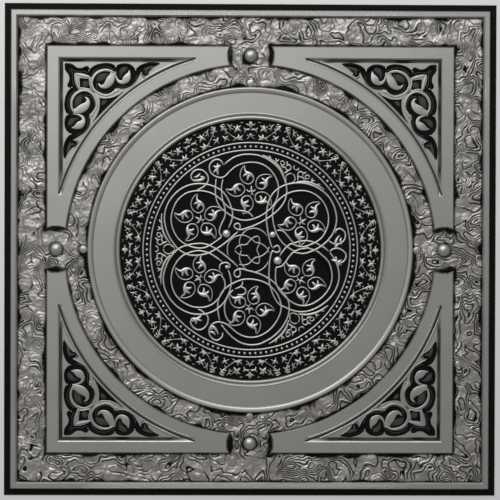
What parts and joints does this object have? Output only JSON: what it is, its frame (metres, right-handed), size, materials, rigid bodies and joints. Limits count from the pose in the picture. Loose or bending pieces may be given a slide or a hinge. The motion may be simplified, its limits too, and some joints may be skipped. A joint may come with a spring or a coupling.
{
  "type": "pressed tin ceiling tile",
  "caption": "Square lay-in ceiling tile pressed from thin tinplate: raised rim and corner plates with scrolls, ring mouldings round a filigree rose, flat flange all round.",
  "frame": {"origin": "centre of the square, on the plane of the flange's underside", "axes": "+Z out of the show face, +X and +Y along the sides"},
  "size_m": [0.603, 0.603, 0.0067],
  "materials": {
    "antique_tin": "antiqued silver, satin, with black in the recesses"
  },
  "bodies": {
    "root": {"ceiling_tile": "antique_tin"}
  },
  "joints": []
}
